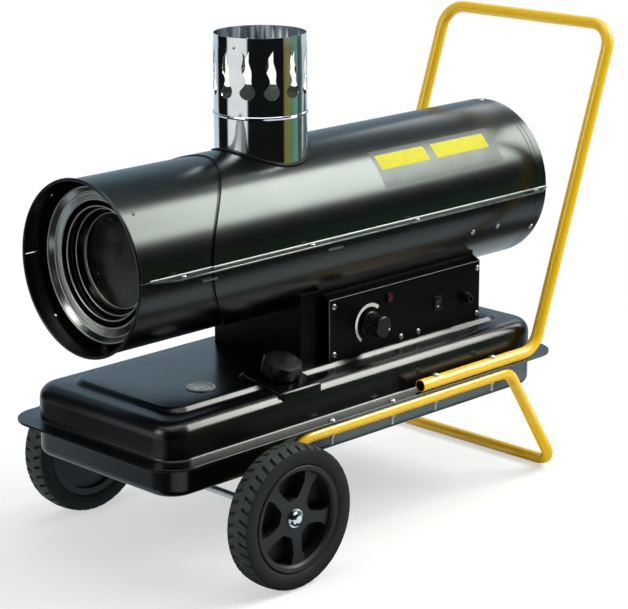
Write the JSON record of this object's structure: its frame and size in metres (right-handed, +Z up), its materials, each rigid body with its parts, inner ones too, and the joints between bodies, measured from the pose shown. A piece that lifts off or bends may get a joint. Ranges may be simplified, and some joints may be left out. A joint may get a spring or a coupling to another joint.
{
  "type": "forced-air kerosene heater",
  "caption": "Indirect-fired kerosene space heater: black steel barrel with chrome flue on a pressed fuel tank, control box, and a trolley with wheels and a yellow tube handle.",
  "frame": {"origin": "on the floor under the middle of the bounding box", "axes": "warm air leaves towards -X and the handle is at +X; the control panel faces -Y; +Z is up"},
  "size_m": [1.0596, 0.54, 0.819],
  "materials": {
    "barrel_paint": "satin black stove enamel on sheet steel",
    "zinc": "bright zinc plate",
    "stainless": "bright rolled stainless sheet",
    "heat_steel": "dull heat-resisting steel",
    "chrome": "polished chrome plate",
    "brass": "machined brass",
    "ceramic": "glazed ceramic with steel wire",
    "aluminium": "as-cast and pressed aluminium",
    "motor_steel": "grey paint on steel",
    "shaft_steel": "ground steel",
    "black_plastic": "fine-grained black plastic",
    "black_rubber": "soft black rubber",
    "copper": "bare copper pipe",
    "guard_paint": "black paint on welded wire",
    "case_paint": "satin black paint on folded sheet",
    "red_lens": "clear red plastic",
    "board": "green laminate with dark components",
    "tank_paint": "semi-gloss black paint on pressed steel",
    "clear_lens": "clear plastic window",
    "pointer_red": "red plastic pointer on a plated strip",
    "cork": "sealed foam float",
    "yellow_paint": "glossy yellow powder coat on steel tube",
    "rim_plastic": "dark grey moulded plastic",
    "tyre_rubber": "dark grey-green solid rubber"
  },
  "bodies": {
    "chassis": {"front_upper_shell": "barrel_paint", "front_lower_shell": "barrel_paint", "rear_upper_shell": "barrel_paint", "rear_lower_shell": "barrel_paint", "shell_screws": "zinc", "outlet_ring": "stainless", "drum": "heat_steel", "drum_brackets": "zinc", "combustion_chamber": "heat_steel", "burner_head": "heat_steel", "fuel_nozzle": "brass", "igniter_electrodes": "ceramic", "motor": "motor_steel", "motor_bracket": "motor_steel", "air_pump": "aluminium", "pump_filter": "black_plastic", "air_hose": "black_rubber", "fuel_line": "copper", "rear_guard": "guard_paint", "flue_stub": "heat_steel", "flue_sleeve": "chrome", "flue_gasket": "black_rubber", "pedestal": "case_paint", "pedestal_screws": "zinc", "control_cover": "case_paint", "cover_screws": "zinc", "thermostat_body": "black_plastic", "indicator_lamp": "red_lens", "switch_frame": "black_plastic", "cord_gland": "black_plastic", "circuit_board": "board", "ignition_transformer": "motor_steel", "tank_upper": "tank_paint", "tank_lower": "tank_paint", "filler_neck": "tank_paint", "filler_strainer": "brass", "gauge_body": "black_plastic", "gauge_lens": "clear_lens", "fuel_pickup": "copper", "drain_plug": "zinc", "handle_tube": "yellow_paint", "leg_tube": "yellow_paint", "flange_bolts": "zinc", "flange_nuts": "zinc", "axle": "zinc", "axle_spacers": "zinc", "axle_caps": "chrome"},
    "near_wheel": {"rim_near": "rim_plastic", "tyre_near": "tyre_rubber"},
    "far_wheel": {"rim_far": "rim_plastic", "tyre_far": "tyre_rubber"},
    "fan_rotor": {"fan": "aluminium", "motor_shaft": "shaft_steel"},
    "knob": {"thermostat_knob": "black_plastic", "thermostat_spindle": "zinc"},
    "rocker": {"switch_rocker": "black_plastic"},
    "cap": {"fuel_cap": "black_plastic", "cap_gasket": "black_rubber"},
    "float": {"gauge_float": "cork"},
    "pointer": {"gauge_pointer": "pointer_red"}
  },
  "joints": [
    {"name": "near_wheel_spin", "type": "hinge", "parent": "chassis", "child": "near_wheel", "pos_m": [-0.32484, -0.2465, 0.115], "axis": [0, 1, 0], "continuous": true},
    {"name": "far_wheel_spin", "type": "hinge", "parent": "chassis", "child": "far_wheel", "pos_m": [-0.32484, 0.2465, 0.115], "axis": [0, 1, 0], "continuous": true},
    {"name": "fan_spin", "type": "hinge", "parent": "chassis", "child": "fan_rotor", "pos_m": [0.13816, 0, 0.5], "axis": [1, 0, 0], "continuous": true},
    {"name": "knob_turn", "type": "hinge", "parent": "chassis", "child": "knob", "pos_m": [-0.01184, -0.135, 0.334], "axis": [0, -1, 0], "range_deg": [0, 240]},
    {"name": "rocker_tilt", "type": "hinge", "parent": "chassis", "child": "rocker", "pos_m": [0.15516, -0.116, 0.336], "axis": [1, 0, 0], "range_deg": [-18, 0]},
    {"name": "cap_lift", "type": "slide", "parent": "chassis", "child": "cap", "axis": [0, -0.309, 0.9511], "range_m": [0, 0.06]},
    {"name": "float_rise", "type": "slide", "parent": "chassis", "child": "float", "axis": [0, 0, 1], "range_m": [0, 0.06]},
    {"name": "pointer_turn", "type": "hinge", "parent": "chassis", "child": "pointer", "pos_m": [-0.34284, -0.067, 0.284], "axis": [0, 0, 1], "range_deg": [0, 234.78]}
  ],
  "couplings": [
    {"joint": "pointer_turn", "follows": "float_rise", "rad_per_m": 68.296}
  ]
}
